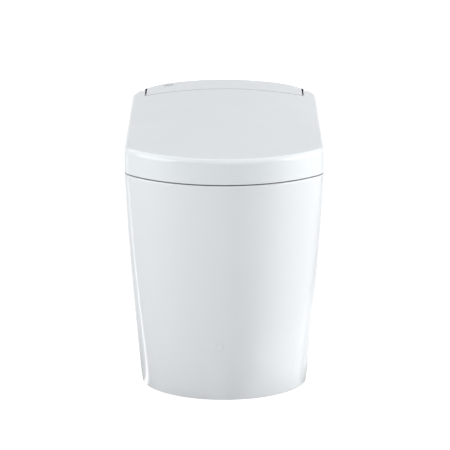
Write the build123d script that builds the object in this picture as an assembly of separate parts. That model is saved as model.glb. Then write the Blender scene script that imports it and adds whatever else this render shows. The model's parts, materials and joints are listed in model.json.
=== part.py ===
# Smart toilet with a skirted ceramic body, a crowned lid, a heated seat and a rear housing.
# Millimetres, +Z up, +X to the right of a person who faces the toilet, the front at -Y.
# The origin is on the floor under the middle of the overall box.
from build123d import *
import math
import os

# Overall form
half_width = 190.0
front_y = -340.0
back_y = 340.0
rim_z = 417.0
cover_z = 420.0
front_top_z = 465.5
crown_rise = 23.5
side_drop = 21.0
cover_gap = 1.9
top_edge_radius = 9.0
cover_edge_radius = 1.0
front_radius_extra = 36.0
front_radius = half_width + front_radius_extra
corner_radius = 60.0
rear_radius = 85.0
overrun = 6.0
rise_power = 1.37
crown_station_shares = (0.0, 0.3, 0.65, 1.0)
least_crown_share = 0.02

# Ceramic body
foot_side_inset = 32.0
foot_front_inset = 14.0
foot_front_radius_extra = 7.0
foot_corner_inset = 20.0
foot_half_width = half_width - foot_side_inset
foot_front_y = front_y + foot_front_inset
foot_front_radius = foot_half_width + foot_front_radius_extra
foot_corner_radius = foot_half_width - foot_corner_inset
foot_rear_radius = 60.0
waist_z = 205.0
waist_side_inset = 12.0
waist_front_inset = 5.0
waist_front_radius_extra = 22.0
waist_half_width = half_width - waist_side_inset
waist_front_y = front_y + waist_front_inset
waist_front_radius = waist_half_width + waist_front_radius_extra
waist_corner_radius = 95.0
waist_rear_radius = 72.0
skirt_wall = 12.0
deck_thickness = 16.0
rim_edge_radius = 2.5
bowl_wall = 11.0
port_half_width = 95.0
port_height = 190.0
port_radius = 30.0

# Bowl stations from the rim down: height, half width, front, back, front, corner and rear radius
bowl_stations = (
    (rim_z, 138.0, -292.0, 88.0, 145.0, 128.0, 120.0),
    (330.0, 126.0, -278.0, 44.0, 132.0, 117.0, 108.0),
    (215.0, 84.0, -246.0, -58.0, 90.0, 76.0, 70.0),
    (120.0, 44.0, -206.0, -108.0, 48.0, 39.0, 36.0),
    (80.0, 30.0, -190.0, -126.0, 33.0, 26.0, 24.0),
)

# Trapway
trap_radius = 26.0
trap_wall = 11.0
trap_start_y = -142.0
trap_start_z = 95.0
trap_climb_deg = 50.0
trap_bend_radius = 45.0
outlet_y = 50.0
trap_crest_z = 200.0
spigot_z = 25.0

# Nozzle trough and rear well in the deck
trough_half_width = 76.0
trough_wall = 10.0
trough_floor_z = 367.0
trough_front_y = 50.0
trough_back_y = 172.0
well_half_width = 125.0
well_front_y = 165.0
well_back_y = 318.0
well_radius = 20.0

# Hinge
hinge_y = 278.0
hinge_z = 456.0
shaft_radius = 6.0
running_gap = 0.05
bush_wall = 2.0
boss_radius = 12.0
hinge_gap = 2.2
seam_radius = 47.9
ear_gap = 3.0
ear_outer_gap = 0.5
ear_rear_gap = 1.5
ear_width = 30.5
housing_half_width = half_width - ear_width
lid_range_deg = 95.0
seat_range_deg = 90.0

# Rear housing
housing_wall = 3.0
nose_radius = 150.0
nose_top_z = 462.0
nose_edge_radius = 12.0
post_radius = 4.5
rear_post_x = 97.0
rear_post_y = 325.0
side_post_inset = 12.5
side_post_x = housing_half_width - side_post_inset
side_post_y = 248.0

# Chassis plate
plate_inset = 8.0
plate_side_inset = 6.5
plate_half_width = housing_half_width - plate_side_inset
plate_front_y = 136.0
notch_left_x = -54.0
notch_right_x = 64.0
notch_back_y = 200.0
plate_bolt_inset = 20.5
plate_bolt_x = housing_half_width - plate_bolt_inset
plate_bolt_front_y = 150.0
plate_bolt_back_y = 312.0
plate_bolt_radius = 3.0

# Lid
lid_wall = 4.0
lid_web_gap = 1.0
lid_web_thickness = 7.0
lid_web_half_length = 12.0
liner_z = 449.0
liner_thickness = 2.5
liner_gap = 0.25
liner_hinge_radius = 153.5
buffer_gap = 0.3
lid_buffer_length = 26.0
lid_buffer_width = 12.0
lid_buffer_inset = 45.0
lid_buffer_ys = (-190.0, 55.0)

# Seat
seat_inset = 9.0
seat_z = 423.0
seat_base_thickness = 3.0
seat_top_z = 443.0
seat_wall = 3.0
seat_outer_radius = 7.0
seat_inner_radius = 5.0
seat_back_y = 152.0
seat_rear_radius = 40.0
seat_hinge_radius = 152.0
arm_thickness = 9.0
arm_gap = 1.5
arm_front_y = 118.0
arm_heel_y = 215.0
arm_heel_z = 427.0
opening_half_width = 106.0
opening_front_y = -252.0
opening_back_y = 62.0
opening_front_radius = 116.0
opening_corner_radius = 98.0
opening_rear_radius = 92.0
seat_joint_gap = 0.2
foil_thickness = 0.6
foil_margin = 9.0
seat_buffer_length = 30.0
seat_buffer_width = 13.0
seat_buffer_inset = 30.0
seat_buffer_ys = (-150.0, 80.0)

# Nozzle unit, in a frame that tips down to the front
nozzle_x = -18.0
nozzle_tip_y = 110.0
nozzle_tip_z = 398.0
nozzle_tilt_deg = 22.0
wand_radius = 7.0
wand_length = 172.0
wand_bore_radius = 2.5
head_length = 22.0
head_radius = 7.6
head_flange_radius = 9.0
head_flange_length = 2.5
spray_hole_radius = 0.9
spray_hole_pitch = 4.0
nozzle_travel = 95.0
guide_front = 22.0
guide_back = 182.0
guide_half_width = 10.5
guide_floor = 10.0
guide_wall_top = 4.0
guide_channel_gap = 0.3
guide_slot_half_width = 4.6
hoop_length = 8.0
hoop_thickness = 2.4
hoop_places = (34.0, 128.0)
guide_post_y = 206.0
guide_post_length = 8.0
front_post_y = 134.0
seat_contact_gap = 0.2

# Rack and pinion
tooth_module = 1.25
pressure_deg = 20.0
pinion_teeth = 14
rack_teeth = 30
rack_start = 50.0
rack_half_width = 3.0
pinion_half_width = 2.4
pinion_place = 62.0
addendum_share = 0.8
dedendum_share = 1.1
tooth_backlash = 0.24
flank_steps = 4
rack_root_depth = 8.0
pinion_shaft_radius = 2.5
motor_radius = 14.0
motor_length = 19.0
motor_plate_thickness = 1.8
motor_plate_margin = 2.0
motor_boss_radius = 4.5

# Dryer
blower_x = 64.0
blower_y = 213.0
blower_z = 421.0
blower_height = 26.0
blower_wall = 1.8
wheel_radius = 22.0
wheel_height = 17.0
wheel_blades = 14
wheel_hub_radius = 6.0
blade_thickness = 1.2
spindle_radius = 1.5
scroll_least_radius = 26.0
scroll_growth = 8.0
duct_left_x = 30.0
duct_width = 28.0
duct_wall = 1.5
duct_back_y = 182.0
duct_mouth_y = 126.0
mouth_top_z = 411.0
mouth_bottom_z = 392.0
flap_thickness = 1.6
flap_gap = 0.5
flap_pin_radius = 1.3
flap_ear_thickness = 2.2
flap_range_deg = 45.0
heater_fins = 6
heater_fin_thickness = 0.8
heater_back_y = 176.0
heater_length = 20.0
heater_gap = 0.3

# Deodoriser
deodor_inset = 9.5
deodor_width = 70.0
deodor_left_x = deodor_inset - housing_half_width
deodor_right_x = deodor_left_x + deodor_width
deodor_front_y = 158.0
deodor_back_y = 241.0
deodor_z = 420.2
deodor_height = 26.0
deodor_wall = 2.0
deodor_fan_radius = 24.0
deodor_fan_y = 211.0
deodor_blades = 7
fan_blade_tilt_deg = 35.0
cassette_depth = 20.0
cassette_gap = 0.3
cassette_slots = 6

# Water and flushing
tank_left_x = -118.0
tank_right_x = 22.0
tank_front_y = 198.0
tank_back_y = 311.0
tank_bottom_z = 235.0
tank_top_z = 405.0
tank_wall = 3.0
tank_corner_radius = 14.0
tank_flange = 5.0
tank_flange_thickness = 3.0
tank_cover_thickness = 3.0
tank_post_radius = 5.0
tank_post_inset = 18.0
pump_x = 80.0
pump_y = 242.0
pump_radius = 33.0
pump_flange_radius = 38.0
pump_flange_z = 355.0
pump_flange_thickness = 6.0
pump_bottom_z = 250.0
volute_radius = 36.0
volute_height = 26.0
pump_port_radius = 10.0
pump_port_length = 16.0
cap_radius = 24.0
cap_height = 18.0
bracket_steel = 2.5
bracket_half_width = 41.5
bracket_half_length = 24.0
pump_body_gap = 0.6
valve_left_x = -119.0
valve_right_x = -72.0
valve_front_y = 272.0
valve_back_y = 311.0
valve_height = 36.0
coil_radius = 11.0
coil_length = 26.0
inlet_x = -96.0
inlet_y = 292.0
inlet_radius = 10.48
inlet_length = 16.0
inlet_hex = 13.5
inlet_hex_height = 8.0
inlet_bore_radius = 6.5
filter_radius = 6.0
filter_length = 14.0
filter_wall = 1.0
hose_radius = 5.0
supply_hose_y = 300.0
supply_hose_inset = 10.0
supply_bend_radius = 25.0
wash_hose_y = 292.0
wash_hose_z = 452.0
wash_hose_lead = 14.0
wash_bend_radii = (6.0, 12.0)
jet_hose_radius = 8.0
jet_lead = 30.0
jet_bend_radii = (60.0, 18.0)
jet_port_y = -150.0
jet_port_z = 92.0
jet_port_radius = 12.0
jet_port_bore_radius = 5.0
jet_port_reach = 56.0
heater_left_x = 48.0
heater_right_x = 92.0
heater_front_y = 252.0
heater_rear_y = 322.0
heater_z = 420.2
heater_height = 46.0
heater_edge_radius = 6.0
nipple_radius = 6.0
nipple_length = 5.0

# Electrics
case_left_x = -92.0
case_right_x = -34.0
case_front_y = 252.0
case_back_y = 324.0
case_z = 420.2
case_height = 40.0
case_wall = 2.0
board_thickness = 1.6
board_height = 8.0
board_block_shares = (0.25, 0.5, 0.75)
board_block_sizes = (9.0, 12.0, 8.0)
power_left_x = 102.0
power_inset = 8.5
power_right_x = housing_half_width - power_inset
power_front_y = 158.0
power_back_y = 240.0
power_height = 26.0
gland_x = 112.0
gland_y = 182.0
gland_radius = 7.0
gland_length = 18.0
gland_bore_radius = 3.6

# Flush button on the housing's top
button_inset = 44.5
button_x = button_inset - housing_half_width
button_y = 307.0
button_radius = 7.2
button_height = 6.0
button_travel = 1.5
button_recess = 0.3
bezel_width = 1.4
bezel_proud = 0.4
bezel_depth = 4.0
button_gap = 0.25
cup_wall = 2.0
cup_depth = 34.0
switch_height = 9.0
stem_radius = 2.5

# Foot sensor on the front of the ceramic
sensor_x = -8.5
sensor_z = 104.0
sensor_radius = 7.0
sensor_gap = 0.2
sensor_flange_radius = 11.0
sensor_flange_thickness = 4.0

# Floor fixing and drain
connector_radius = 52.0
connector_bore_radius = 27.0
connector_bore_length = 22.0
connector_height = 60.0
connector_gap = 0.2
foot_bracket_inset = 36.0
foot_bracket_x = foot_half_width - foot_bracket_inset
foot_bracket_y = 150.0
foot_bracket_half_width = 16.0
foot_bracket_half_length = 22.0
foot_bracket_thickness = 6.0
foot_bracket_height = 74.0
foot_hole_radius = 4.5
side_bolt_z = 52.0
side_bolt_radius = 4.0
side_bolt_head_radius = 7.5
side_bolt_head_height = 5.0
cap_disc_radius = 12.5
cap_disc_thickness = 3.0
side_hole_radius = 9.0

parts = {}


# Shared shapes


def slab(x_low, x_high, y_low, y_high, z_low, z_high):
    """A box between two corners."""
    centre = ((x_low + x_high) / 2, (y_low + y_high) / 2, (z_low + z_high) / 2)
    return Pos(*centre) * Box(x_high - x_low, y_high - y_low, z_high - z_low)


def rod_x(radius, x_low, x_high, y, z):
    """A cylinder along X."""
    return Pos((x_low + x_high) / 2, y, z) * Rot(0, 90, 0) * Cylinder(radius, x_high - x_low)


def rod_y(radius, x, y_low, y_high, z):
    """A cylinder along Y."""
    return Pos(x, (y_low + y_high) / 2, z) * Rot(90, 0, 0) * Cylinder(radius, y_high - y_low)


def rod_z(radius, x, y, z_low, z_high):
    """A cylinder along Z."""
    return Pos(x, y, (z_low + z_high) / 2) * Cylinder(radius, z_high - z_low)


def on_both_sides(shape):
    """A shape and its mirror image across the middle plane."""
    return shape + mirror(shape, about=Plane.YZ)


def plan_outline(half, front, back, nose_arc, corner_arc, rear_arc):
    """Plan face: a front arc, corner arcs that touch it and the sides, and a flat back with round corners."""
    nose_y = front + nose_arc
    corner_x = half - corner_arc
    span = nose_arc - corner_arc
    corner_y = nose_y - math.sqrt(span**2 - corner_x**2)
    touch_x = corner_x + corner_arc * corner_x / span
    touch_y = corner_y + corner_arc * (corner_y - nose_y) / span
    middle = math.atan2(corner_y - nose_y, corner_x) / 2
    middle_x = corner_x + corner_arc * math.cos(middle)
    middle_y = corner_y + corner_arc * math.sin(middle)
    rear_reach = rear_arc * math.sqrt(0.5)
    edges = [ThreePointArc((-touch_x, touch_y), (0, front), (touch_x, touch_y))]
    for hand in (1, -1):
        side_start = (hand * half, corner_y)
        side_end = (hand * half, back - rear_arc)
        rear_middle = (hand * (half - rear_arc + rear_reach), back - rear_arc + rear_reach)
        edges.append(ThreePointArc((hand * touch_x, touch_y), (hand * middle_x, middle_y), side_start))
        edges.append(Line(side_start, side_end))
        edges.append(ThreePointArc(side_end, rear_middle, (hand * (half - rear_arc), back)))
    edges.append(Line((half - rear_arc, back), (rear_arc - half, back)))
    return make_face(edges)


def main_outline(inset):
    """The outline that the lid, housing and rim share, drawn in by an inset."""
    return plan_outline(
        half_width - inset,
        front_y + inset,
        back_y - inset,
        front_radius - inset,
        corner_radius - inset,
        rear_radius - inset,
    )


def hinge_disc(radius, half_length=half_width + overrun):
    """A solid cylinder about the hinge axis."""
    return rod_x(radius, -half_length, half_length, hinge_y, hinge_z)


def cover_edge_z():
    """Height of the lower edge of the lid and the housing."""
    return rim_z + cover_gap


def ear_radius():
    """Radius of the lid's ears about the hinge axis."""
    return hinge_z - cover_edge_z() - ear_outer_gap


def crown_height(share, lowered):
    """Height of the crown's middle line at a share of the length from the front."""
    return front_top_z - lowered + crown_rise * (1 - (1 - share) ** rise_power)


def crown_block(lowered):
    """The space under the crowned top, which is arched more towards the rear."""
    reach = half_width + overrun
    floor_z = rim_z - deck_thickness
    sections = []
    for share in crown_station_shares:
        y = front_y + share * (back_y - front_y)
        if share == 0:
            y -= overrun
        if share == 1:
            y += overrun
        middle_z = crown_height(share, lowered)
        edge_z = middle_z - side_drop * max(share, least_crown_share) * (reach / half_width) ** 2
        outline = [
            Line((-reach, y, floor_z), (reach, y, floor_z)),
            Line((reach, y, floor_z), (reach, y, edge_z)),
            ThreePointArc((reach, y, edge_z), (0, y, middle_z), (-reach, y, edge_z)),
            Line((-reach, y, edge_z), (-reach, y, floor_z)),
        ]
        sections.append(make_face(outline))
    return loft(sections)


def upper_form(inset, lowered, bottom_z):
    """The closed form that the lid and the housing are cut from."""
    height = front_top_z + crown_rise + overrun - bottom_z
    column = extrude(Pos(0, 0, bottom_z) * main_outline(inset), amount=height)
    form = column & crown_block(lowered)
    top_edges = form.edges().filter_by(lambda edge: edge.center().Z > bottom_z + overrun)
    rim = top_edges.filter_by(lambda edge: abs(edge.tangent_at(0.5).Z) < 0.6)
    return fillet(rim, top_edge_radius - inset)


def tube_along(points, radii, radius):
    """A round rod along straight runs joined by tangent arcs."""
    path = FilletPolyline(*points, radius=radii)
    start = path @ 0
    section = Plane(origin=start, z_dir=path % 0) * Circle(radius)
    return sweep(section, path)


# Ceramic body


def skirt_form(inset, top_z):
    """The tapered outside of the ceramic, or its cavity when drawn in."""
    sizes = (
        (foot_half_width, foot_front_y, foot_front_radius, foot_corner_radius, foot_rear_radius),
        (waist_half_width, waist_front_y, waist_front_radius, waist_corner_radius, waist_rear_radius),
        (half_width, front_y, front_radius, corner_radius, rear_radius),
    )
    heights = (0, waist_z, top_z)
    sections = []
    for z, (half, front, nose_arc, corner_arc, rear_arc) in zip(heights, sizes):
        radii = (nose_arc - inset, corner_arc - inset, rear_arc - inset)
        face = plan_outline(half - inset, front + inset, back_y - inset, *radii)
        sections.append(Pos(0, 0, z) * face)
    return loft(sections)


def bowl_form(grown):
    """The egg-shaped bowl, or its outside when grown by a wall."""
    sections = []
    for z, half, front, back, nose_arc, corner_arc, rear_arc in bowl_stations:
        depth = grown if z == bowl_stations[-1][0] else 0
        radii = (nose_arc + grown, corner_arc + grown, rear_arc + grown)
        face = plan_outline(half + grown, front - grown, back + grown, *radii)
        sections.append(Pos(0, 0, z - depth) * face)
    return loft(sections)


def trap_path(low_z):
    """Centre line of the trapway: up behind the bowl, over the crest and straight down."""
    climb = math.radians(trap_climb_deg)
    bend_y = outlet_y - trap_bend_radius
    touch_y = bend_y - trap_bend_radius * math.sin(climb)
    touch_z = trap_crest_z + trap_bend_radius * math.cos(climb)
    run = (touch_z - trap_start_z) / math.sin(climb)
    start_y = touch_y - run * math.cos(climb)
    top_angle = (climb + math.pi / 2) / 2
    top_y = bend_y + trap_bend_radius * math.cos(top_angle)
    top_z = trap_crest_z + trap_bend_radius * math.sin(top_angle)
    rising = Line((0, start_y, trap_start_z), (0, touch_y, touch_z))
    over = ThreePointArc((0, touch_y, touch_z), (0, top_y, top_z), (0, outlet_y, trap_crest_z))
    falling = Line((0, outlet_y, trap_crest_z), (0, outlet_y, low_z))
    return Wire([rising, over, falling])


def trap_tube(radius, low_z):
    """A round passage along the trapway."""
    path = trap_path(low_z)
    section = Plane(origin=path @ 0, z_dir=path % 0) * Circle(radius)
    return sweep(section, path)


def make_ceramic():
    outside = skirt_form(0, rim_z)
    rim_edges = outside.edges().filter_by(lambda edge: abs(edge.center().Z - rim_z) < running_gap)
    outside = fillet(rim_edges, rim_edge_radius)
    cavity = skirt_form(skirt_wall, rim_z - deck_thickness)
    trough_outside = slab(
        -trough_half_width - trough_wall,
        trough_half_width + trough_wall,
        trough_front_y,
        trough_back_y,
        trough_floor_z - trough_wall,
        rim_z - running_gap,
    )
    body = outside - cavity
    body += bowl_form(bowl_wall) & outside
    body += trough_outside
    body += trap_tube(trap_radius + trap_wall, spigot_z)
    body += rod_x(jet_port_radius, 0, jet_port_reach, jet_port_y, jet_port_z)
    body -= bowl_form(0)
    body -= rod_x(jet_port_bore_radius, 0, jet_port_reach + overrun, jet_port_y, jet_port_z)
    body -= trap_tube(trap_radius, spigot_z - overrun)
    trough = slab(
        -trough_half_width,
        trough_half_width,
        trough_front_y,
        trough_back_y + overrun,
        trough_floor_z,
        rim_z + overrun,
    )
    well = slab(
        -well_half_width,
        well_half_width,
        well_front_y,
        well_back_y,
        rim_z - deck_thickness - overrun,
        rim_z + overrun,
    )
    well = fillet(well.edges().filter_by(Axis.Z), well_radius)
    body -= trough + well
    port_front_y = back_y - skirt_wall - overrun
    port = slab(-port_half_width, port_half_width, port_front_y, back_y + overrun, -overrun, port_height)
    port = fillet(port.edges().filter_by(Axis.Y), port_radius)
    body -= port
    sensor_hole_end_y = foot_front_y + skirt_wall + overrun
    body -= rod_y(sensor_radius + sensor_gap, sensor_x, front_y - overrun, sensor_hole_end_y, sensor_z)
    reach = half_width + overrun
    body -= rod_x(side_hole_radius, -reach, reach, foot_bracket_y, side_bolt_z)
    for x, y in plate_bolt_places():
        body -= rod_z(plate_bolt_radius, x, y, rim_z - deck_thickness - overrun, rim_z + overrun)
    parts["ceramic_body"] = body


def plate_bolt_places():
    """Where the chassis plate is bolted to the ceramic deck."""
    return [(hand * plate_bolt_x, y) for hand in (-1, 1) for y in (plate_bolt_front_y, plate_bolt_back_y)]


# Floor fixing and drain


def make_floor_pieces():
    spigot_radius = trap_radius + trap_wall
    connector = rod_z(connector_radius, 0, outlet_y, 0, connector_height)
    connector -= rod_z(connector_bore_radius, 0, outlet_y, -overrun, connector_height + overrun)
    seat_z_low = connector_bore_length
    connector -= rod_z(spigot_radius + connector_gap, 0, outlet_y, seat_z_low, connector_height + overrun)
    parts["outlet_connector"] = connector

    inner_x = skirt_inside_x(side_bolt_z)
    wall_x = inner_x - seat_contact_gap
    bracket = slab(
        foot_bracket_x - foot_bracket_half_width,
        wall_x,
        foot_bracket_y - foot_bracket_half_length,
        foot_bracket_y + foot_bracket_half_length,
        0,
        foot_bracket_thickness,
    )
    upright = slab(
        wall_x - foot_bracket_thickness,
        wall_x,
        foot_bracket_y - foot_bracket_half_length,
        foot_bracket_y + foot_bracket_half_length,
        0,
        foot_bracket_height,
    )
    wall_run = skirt_inside_x(foot_bracket_height) - skirt_inside_x(0)
    lean = math.degrees(math.atan2(wall_run, foot_bracket_height))
    upright = Pos(-wall_x, -foot_bracket_y, -side_bolt_z) * upright
    upright = Pos(wall_x, foot_bracket_y, side_bolt_z) * Rot(0, lean, 0) * upright
    upright &= slab(0, half_width, front_y, back_y, 0, foot_bracket_height)
    bracket += upright
    bracket &= skirt_form(skirt_wall + seat_contact_gap, rim_z)
    hole_top_z = foot_bracket_thickness + overrun
    bracket -= rod_z(foot_hole_radius, foot_bracket_x, foot_bracket_y, -overrun, hole_top_z)
    bracket -= rod_x(side_bolt_radius, foot_bracket_x, half_width, foot_bracket_y, side_bolt_z)
    parts["floor_brackets"] = on_both_sides(bracket)

    outer_x = inner_x + skirt_wall
    head_x = outer_x - cap_disc_thickness - side_bolt_head_height
    bolt = rod_x(
        side_bolt_radius - running_gap,
        wall_x - foot_bracket_thickness - overrun,
        head_x,
        foot_bracket_y,
        side_bolt_z,
    )
    bolt += rod_x(side_bolt_head_radius, head_x, head_x + side_bolt_head_height, foot_bracket_y, side_bolt_z)
    parts["bracket_bolts"] = on_both_sides(bolt)

    disc_end_x = outer_x + cap_disc_thickness
    disc = rod_x(cap_disc_radius, outer_x - overrun, disc_end_x, foot_bracket_y, side_bolt_z)
    disc -= skirt_form(0, rim_z)
    plug_low_x = head_x + side_bolt_head_height
    plug_high_x = outer_x + running_gap
    plug = rod_x(side_hole_radius - running_gap, plug_low_x, plug_high_x, foot_bracket_y, side_bolt_z)
    parts["bolt_caps"] = on_both_sides(disc + plug)


def skirt_inside_x(z):
    """Half width of the skirt's cavity at the side bolts' place along the toilet, at a height."""
    probe = skirt_form(skirt_wall, rim_z - deck_thickness)
    line = Edge.make_line((0, foot_bracket_y, z + running_gap), (half_width, foot_bracket_y, z + running_gap))
    return (probe & line).bounding_box().max.X


# Chassis plate


def make_chassis():
    depth = cover_z - rim_z
    plate = extrude(Pos(0, 0, rim_z) * main_outline(plate_inset), amount=depth)
    plate &= slab(-plate_half_width, plate_half_width, plate_front_y, back_y, rim_z, cover_z)
    plate -= slab(notch_left_x, notch_right_x, front_y, notch_back_y, rim_z - overrun, cover_z + overrun)
    for x, y in plate_bolt_places():
        plate -= rod_z(plate_bolt_radius, x, y, rim_z - overrun, cover_z + overrun)
    for x, y in housing_post_places():
        plate -= screw_solid(x, y, running_gap)
    hose_x = heater_left_x + supply_hose_inset
    plate -= rod_z(hose_radius + 2 * button_gap, hose_x, supply_hose_y, rim_z - overrun, cover_z + overrun)
    plate -= rod_z(gland_radius + running_gap, gland_x, gland_y, rim_z - overrun, cover_z + overrun)
    parts["chassis_plate"] = plate

    bolts = []
    for x, y in plate_bolt_places():
        shank = rod_z(plate_bolt_radius - running_gap, x, y, rim_z - deck_thickness - overrun, cover_z)
        head = rod_z(2 * plate_bolt_radius, x, y, cover_z, cover_z + plate_bolt_radius)
        bolts.append(shank + head)
    parts["plate_bolts"] = Compound(children=bolts)

    screws = [screw_solid(x, y, 0) for x, y in housing_post_places()]
    parts["housing_screws"] = Compound(children=screws)


def housing_post_places():
    """The screw posts of the rear housing."""
    return [
        (hand * x, y) for hand in (-1, 1) for x, y in ((rear_post_x, rear_post_y), (side_post_x, side_post_y))
    ]


def screw_solid(x, y, gap):
    """A countersunk screw that holds the chassis plate to the housing."""
    head_radius = post_radius - gap / 2
    shank_radius = post_radius / 3
    depth = cover_z - rim_z
    head = Pos(x, y, (rim_z + cover_z) / 2) * Cone(head_radius - depth / 4 + gap, shank_radius + gap, depth)
    return head + rod_z(shank_radius + gap, x, y, rim_z, cover_z + 4 * depth)


# Rear housing


def housing_shell(inset):
    """The housing's outside, or its inside when drawn in by the wall."""
    side = housing_half_width - inset
    bottom_z = cover_edge_z() if inset == 0 else rim_z
    top_z = front_top_z + crown_rise + overrun
    form = upper_form(inset, inset, bottom_z)
    rear = slab(-side, side, hinge_y, back_y, bottom_z, top_z)
    rear += hinge_disc(seam_radius - inset, side)
    shoulders = slab(-half_width, half_width, hinge_y, back_y, bottom_z, top_z)
    rear += shoulders - hinge_disc(ear_radius() + ear_rear_gap + inset)
    nose = hinge_disc(nose_radius - inset, side)
    nose &= slab(-side, side, front_y, hinge_y, bottom_z, nose_top_z - inset)
    front_edge = nose.edges().filter_by(lambda edge: edge.center().Z > nose_top_z - inset - running_gap)
    front_edge = front_edge.sort_by(Axis.Y)[0]
    nose = fillet([front_edge], nose_edge_radius - inset)
    return form & (rear + nose)


def make_housing():
    shell = housing_shell(0) - housing_shell(housing_wall)
    top_z = front_top_z + crown_rise
    inside = housing_shell(housing_wall / 2)
    for x, y in housing_post_places():
        post = rod_z(post_radius, x, y, cover_z, top_z) & inside
        shell += post
        shell -= screw_solid(x, y, running_gap)
    shell -= hinge_disc(shaft_radius + 2 * running_gap)
    skin_z = crown_surface_z(button_x, button_y)
    cup = rod_z(cup_outer_radius(), button_x, button_y, skin_z - cup_depth, top_z) & inside
    shell += cup
    shell -= rod_z(cup_outer_radius() - cup_wall, button_x, button_y, rim_z, skin_z - bezel_depth)
    shell -= rod_z(bezel_outer_radius() + running_gap, button_x, button_y, rim_z, top_z)
    parts["rear_housing"] = shell


def cup_outer_radius():
    return bezel_outer_radius() + cup_wall


def bezel_outer_radius():
    return button_radius + button_gap + bezel_width


def crown_surface_z(x, y):
    """Height of the outer crown at a point."""
    share = (y - front_y) / (back_y - front_y)
    return crown_height(share, 0) - side_drop * share * (x / half_width) ** 2


def make_flush_button():
    skin_z = crown_surface_z(button_x, button_y)
    outer = bezel_outer_radius()
    inner = button_radius + button_gap
    proud_form = Pos(0, 0, bezel_proud) * upper_form(0, 0, cover_z)
    bezel = rod_z(outer, button_x, button_y, skin_z - bezel_depth, skin_z + overrun) & proud_form
    bezel -= rod_z(inner, button_x, button_y, rim_z, skin_z + overrun)
    parts["button_bezel"] = bezel

    sunk_form = Pos(0, 0, -button_recess) * upper_form(0, 0, cover_z)
    button = rod_z(button_radius, button_x, button_y, skin_z - button_height, skin_z + overrun) & sunk_form
    switch_top = skin_z - button_height - button_travel - stem_length() - button_gap
    stem_top = skin_z - button_height
    button += rod_z(stem_radius, button_x, button_y, stem_top - stem_length(), stem_top)
    parts["flush_button"] = button

    switch_radius = cup_outer_radius() - cup_wall - button_gap
    switch = rod_z(switch_radius, button_x, button_y, switch_top - switch_height, switch_top)
    parts["flush_switch"] = switch


def stem_length():
    return 2 * button_height


# Hinge pieces


def make_hinge():
    wall_outer = housing_half_width - housing_wall - seat_contact_gap
    wall_inner = wall_outer - bracket_steel * 2
    inner_end = wall_inner - seat_contact_gap
    outer_end = lid_web_inner_x() + lid_web_thickness
    shaft = rod_x(shaft_radius, inner_end, outer_end, hinge_y, hinge_z)
    parts["hinge_shafts"] = on_both_sides(shaft)

    half_length = 1.4 * boss_radius
    upright = slab(wall_inner, wall_outer, hinge_y - half_length, hinge_y + half_length, cover_z, hinge_z)
    upright += rod_x(1.2 * boss_radius, wall_inner, wall_outer, hinge_y, hinge_z)
    foot_reach = 2 * boss_radius
    foot = slab(
        wall_inner - foot_reach,
        wall_outer,
        hinge_y - half_length,
        hinge_y + half_length,
        cover_z,
        cover_z + bracket_steel,
    )
    bracket = upright + foot
    bracket -= rod_x(shaft_radius + running_gap, 0, half_width, hinge_y, hinge_z)
    parts["hinge_brackets"] = on_both_sides(bracket)

    damper_radius = boss_radius - bush_wall / 2
    damper_length = 4 * boss_radius
    low_x = inner_end - seat_contact_gap - damper_length
    body = rod_x(damper_radius, low_x, inner_end - seat_contact_gap, hinge_y, hinge_z)
    saddle = slab(
        low_x + bush_wall,
        low_x + boss_radius,
        hinge_y - damper_radius,
        hinge_y + damper_radius,
        cover_z,
        hinge_z,
    )
    damper = body + saddle
    parts["seat_damper"] = damper
    parts["lid_damper"] = mirror(damper, about=Plane.YZ)


def seat_arm_inner_x():
    return housing_half_width + arm_gap


def seat_arm_outer_x():
    return seat_arm_inner_x() + arm_thickness


def lid_web_inner_x():
    return seat_arm_outer_x() + lid_web_gap


# Seat


def seat_blank(margin, z_low, z_high):
    """The seat's plan between two heights, drawn in from its edges by a margin, with its corners whole."""
    inset = seat_inset + margin
    outer = plan_outline(
        half_width - inset,
        front_y + inset,
        seat_back_y - margin,
        front_radius - inset,
        corner_radius - inset,
        seat_rear_radius - margin,
    )
    opening = plan_outline(
        opening_half_width + margin,
        opening_front_y - margin,
        opening_back_y + margin,
        opening_front_radius + margin,
        opening_corner_radius + margin,
        opening_rear_radius + margin,
    )
    return extrude(Pos(0, 0, z_low) * (outer - opening), amount=z_high - z_low)


def seat_ring(margin, z_low, z_high):
    """The seat's plan with its back cut to turn clear of the housing's nose."""
    side = seat_arm_inner_x() - seat_joint_gap + margin
    return seat_blank(margin, z_low, z_high) - hinge_disc(seat_hinge_radius + margin, side)


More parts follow.
